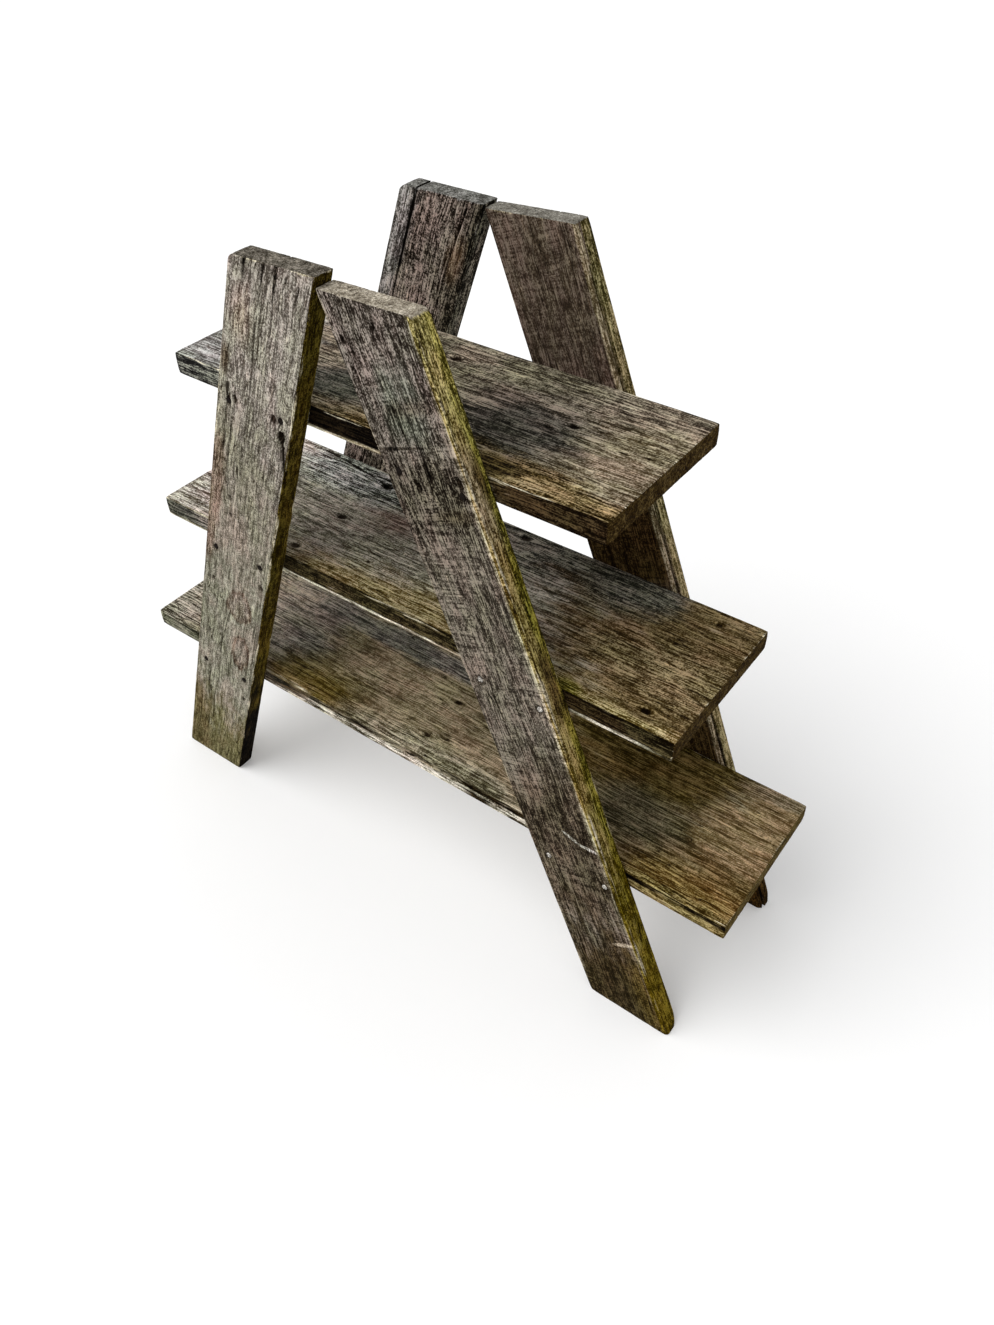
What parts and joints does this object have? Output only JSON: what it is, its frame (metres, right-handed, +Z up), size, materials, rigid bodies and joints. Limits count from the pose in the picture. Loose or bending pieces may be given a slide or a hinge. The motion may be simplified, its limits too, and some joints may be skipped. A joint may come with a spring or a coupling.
{
  "type": "tiered plant stand",
  "caption": "Rustic A-frame plant stand of weathered boards: leaning leg pairs at front and back, with shelf boards nailed between them, shorter towards the top.",
  "frame": {"origin": "on the floor, under the centre of the stand's bounding box", "axes": "+X along the shelves to the right, +Y from front to back, +Z up"},
  "size_m": [0.885, 0.25, 0.8161],
  "materials": {
    "leg_wood": "weathered grey-brown rough-sawn board, mossy along the edges",
    "shelf_wood": "weathered grey-brown board with warm brown and olive patches",
    "nail_steel": "dull rusted wire nail"
  },
  "bodies": {
    "root": {"front_left_leg": "leg_wood", "front_right_leg": "leg_wood", "back_left_leg": "leg_wood", "back_right_leg": "leg_wood", "top_shelf": "shelf_wood", "middle_shelf": "shelf_wood", "bottom_shelf": "shelf_wood", "nails_front_left_leg_top_shelf": "nail_steel", "nails_front_left_leg_middle_shelf": "nail_steel", "nails_front_left_leg_bottom_shelf": "nail_steel", "nails_front_right_leg_top_shelf": "nail_steel", "nails_front_right_leg_middle_shelf": "nail_steel", "nails_front_right_leg_bottom_shelf": "nail_steel", "nails_back_left_leg_top_shelf": "nail_steel", "nails_back_left_leg_middle_shelf": "nail_steel", "nails_back_left_leg_bottom_shelf": "nail_steel", "nails_back_right_leg_top_shelf": "nail_steel", "nails_back_right_leg_middle_shelf": "nail_steel", "nails_back_right_leg_bottom_shelf": "nail_steel"}
  },
  "joints": []
}
